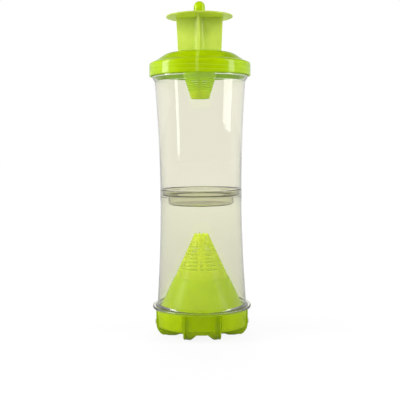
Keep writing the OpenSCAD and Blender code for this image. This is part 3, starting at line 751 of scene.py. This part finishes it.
def straightView(tree):
    # 1 for a ray that comes from the camera with nothing but clear plastic on its way
    path = addNode(tree, "ShaderNodeLightPath").outputs
    bounced = mathNode(tree, "ADD", path["Glossy Depth"], path["Diffuse Depth"])
    straight = mathNode(tree, "LESS_THAN", bounced, 0.5)
    through = mathNode(tree, "MULTIPLY", path["Is Transmission Ray"], straight)
    return mathNode(tree, "MAXIMUM", path["Is Camera Ray"], through)


def reflectedLevel(tree, level):
    # What other rays see: that level, or a brighter one for rays that a clear wall reflected inside itself
    path = addNode(tree, "ShaderNodeLightPath").outputs
    inside = mathNode(tree, "MULTIPLY", path["Is Transmission Ray"], studio["insideLevel"])
    return mathNode(tree, "MAXIMUM", level, inside)


def addFloor():
    # White paper, dimmer to reflected rays on the camera's side, and left out when seen from below
    mesh = bpy.data.meshes.new("floor")
    half = studio["floorSize"] / 2
    corners = [(-half, -half, 0), (half, -half, 0), (half, half, 0), (-half, half, 0)]
    mesh.from_pydata(corners, [], [(0, 1, 2, 3)])
    floor = bpy.data.objects.new("floor", mesh)
    bpy.context.scene.collection.objects.link(floor)
    material, tree, place = newMaterial("white_paper")
    grain = noise(tree, place, 3, 3)
    shade = mixColours(tree, spread(tree, grain, 0, 1), colour("#505050"), colour("#545454"))
    paper = addNode(tree, "ShaderNodeBsdfDiffuse", links={"Color": shade})
    away = addNode(tree, "ShaderNodeVectorMath", {"operation": "LENGTH"}, {0: place}).outputs["Value"]
    white = spread(tree, away, studio["floorNear"], studio["floorFar"], 0.15, 0.9)
    depth = addNode(tree, "ShaderNodeSeparateXYZ", links={0: place}).outputs[1]
    dim = spread(tree, depth, studio["floorGlow"], studio["floorBack"], -0.05, 0.4)
    reflected = reflectedLevel(tree, dim)
    strength = addNode(tree, "ShaderNodeMix", {"data_type": "FLOAT"}, {
        0: straightView(tree), 2: reflected, 3: white}).outputs[0]
    glow = addNode(tree, "ShaderNodeEmission", {"Color": (1, 1, 1, 1)}, {"Strength": strength})
    both = addNode(tree, "ShaderNodeAddShader", links={0: paper.outputs[0], 1: glow.outputs[0]})
    side = addNode(tree, "ShaderNodeNewGeometry").outputs["Backfacing"]
    nothing = addNode(tree, "ShaderNodeBsdfTransparent")
    oneSided = addNode(tree, "ShaderNodeMixShader", links={
        0: side, 1: both.outputs[0], 2: nothing.outputs[0]})
    finishMaterial(tree, oneSided.outputs[0])
    mesh.materials.append(material)


def addSoftbox(name, angle, distance, height, width, tall, radiance, glossy=True, lookAt=(0, 0, 0.17)):
    # A softbox at that many degrees to the left of the camera's side, at that distance and height, facing the
    # trap. Its power is radiance * pi * area.
    data = bpy.data.lights.new(name, "AREA")
    data.shape = "RECTANGLE"
    data.size = width
    data.size_y = tall
    data.energy = radiance * math.pi * width * tall
    light = bpy.data.objects.new(name, data)
    turn = math.radians(angle)
    light.location = (-distance * math.sin(turn), -distance * math.cos(turn), height)
    light.rotation_euler = (Vector(lookAt) - light.location).to_track_quat("-Z", "Y").to_euler()
    light.visible_camera = False
    light.visible_transmission = False
    light.visible_glossy = glossy
    bpy.context.scene.collection.objects.link(light)


def addWorld():
    # Rays that see the background find plain white. The others find a studio that is bright behind the
    # trap and dim above and on the camera's side, which keeps the colours deep.
    world = bpy.data.worlds.new("studio")
    world.use_nodes = True
    tree = world.node_tree
    tree.nodes.clear()
    direction = addNode(tree, "ShaderNodeTexCoord").outputs["Generated"]
    parts = addNode(tree, "ShaderNodeSeparateXYZ", links={0: direction}).outputs
    behind = spread(tree, parts[1], 0.0, studio["worldBright"], -0.7, 0.1)
    level = spread(tree, mathNode(tree, "ABSOLUTE", parts[2]), 1.0, 0.0, 0.28, 0.6)
    strength = mathNode(tree, "MULTIPLY_ADD", behind, level, studio["worldDark"])
    strength = reflectedLevel(tree, strength)
    room = addNode(tree, "ShaderNodeBackground", links={"Strength": strength})
    white = addNode(tree, "ShaderNodeBackground", {"Color": (1, 1, 1, 1), "Strength": 1.0})
    both = addNode(tree, "ShaderNodeMixShader", links={
        0: straightView(tree), 1: room.outputs[0], 2: white.outputs[0]})
    addNode(tree, "ShaderNodeOutputWorld", links={"Surface": both.outputs[0]})
    bpy.context.scene.world = world


view = {"lens": 67.2, "sensor": 36, "place": (-0.0010, -0.747, 0.191), "lookAt": (-0.0010, 0, 0.134),
        "lean": -0.5}


def addCamera():
    data = bpy.data.cameras.new("camera")
    data.lens = view["lens"]
    data.sensor_width = view["sensor"]
    data.clip_start = 0.01
    camera = bpy.data.objects.new("camera", data)
    camera.location = view["place"]
    camera.rotation_euler = (Vector(view["lookAt"]) - camera.location).to_track_quat("-Z", "Y").to_euler()
    camera.rotation_euler.rotate_axis("Z", math.radians(view["lean"]))
    bpy.context.scene.collection.objects.link(camera)
    bpy.context.scene.camera = camera


addFloor()
strip = studio["stripRadiance"]
addSoftbox("leftHighStrip", 82, 1.0, 0.70, 0.37, 0.85, strip)
addSoftbox("rightHighStrip", -74, 1.0, 0.74, 0.32, 0.92, 0.75 * strip)
addSoftbox("leftLowStrip", 61, 1.0, 0.20, 0.14, 0.17, 0.6 * strip)
addSoftbox("rightLowStrip", -74, 1.0, 0.217, 0.46, 0.125, 0.5 * strip)
addSoftbox("frontFill", 10, 1.5, 0.7, 1.6, 1.2, 2.8, glossy=False)
addSoftbox("lowFill", 0, 1.3, 0.05, 1.4, 0.5, 1.4, glossy=False, lookAt=(0, 0, 0.25))
addSoftbox("leftFill", 75, 1.5, 0.5, 1.2, 1.2, 2.2, glossy=False)
addSoftbox("rightFill", -75, 1.5, 0.5, 1.2, 1.2, 1.5, glossy=False)
addSoftbox("backFill", 180, 1.5, 0.7, 1.6, 1.2, 5.0, glossy=False)
addWorld()
addCamera()
scene = bpy.context.scene
scene.view_settings.view_transform = "Standard"
scene.cycles.transmission_bounces = 16
scene.cycles.transparent_max_bounces = 16
scene.cycles.max_bounces = 20
scene.cycles.caustics_refractive = False
scene.cycles.caustics_reflective = False
print("studio ready")
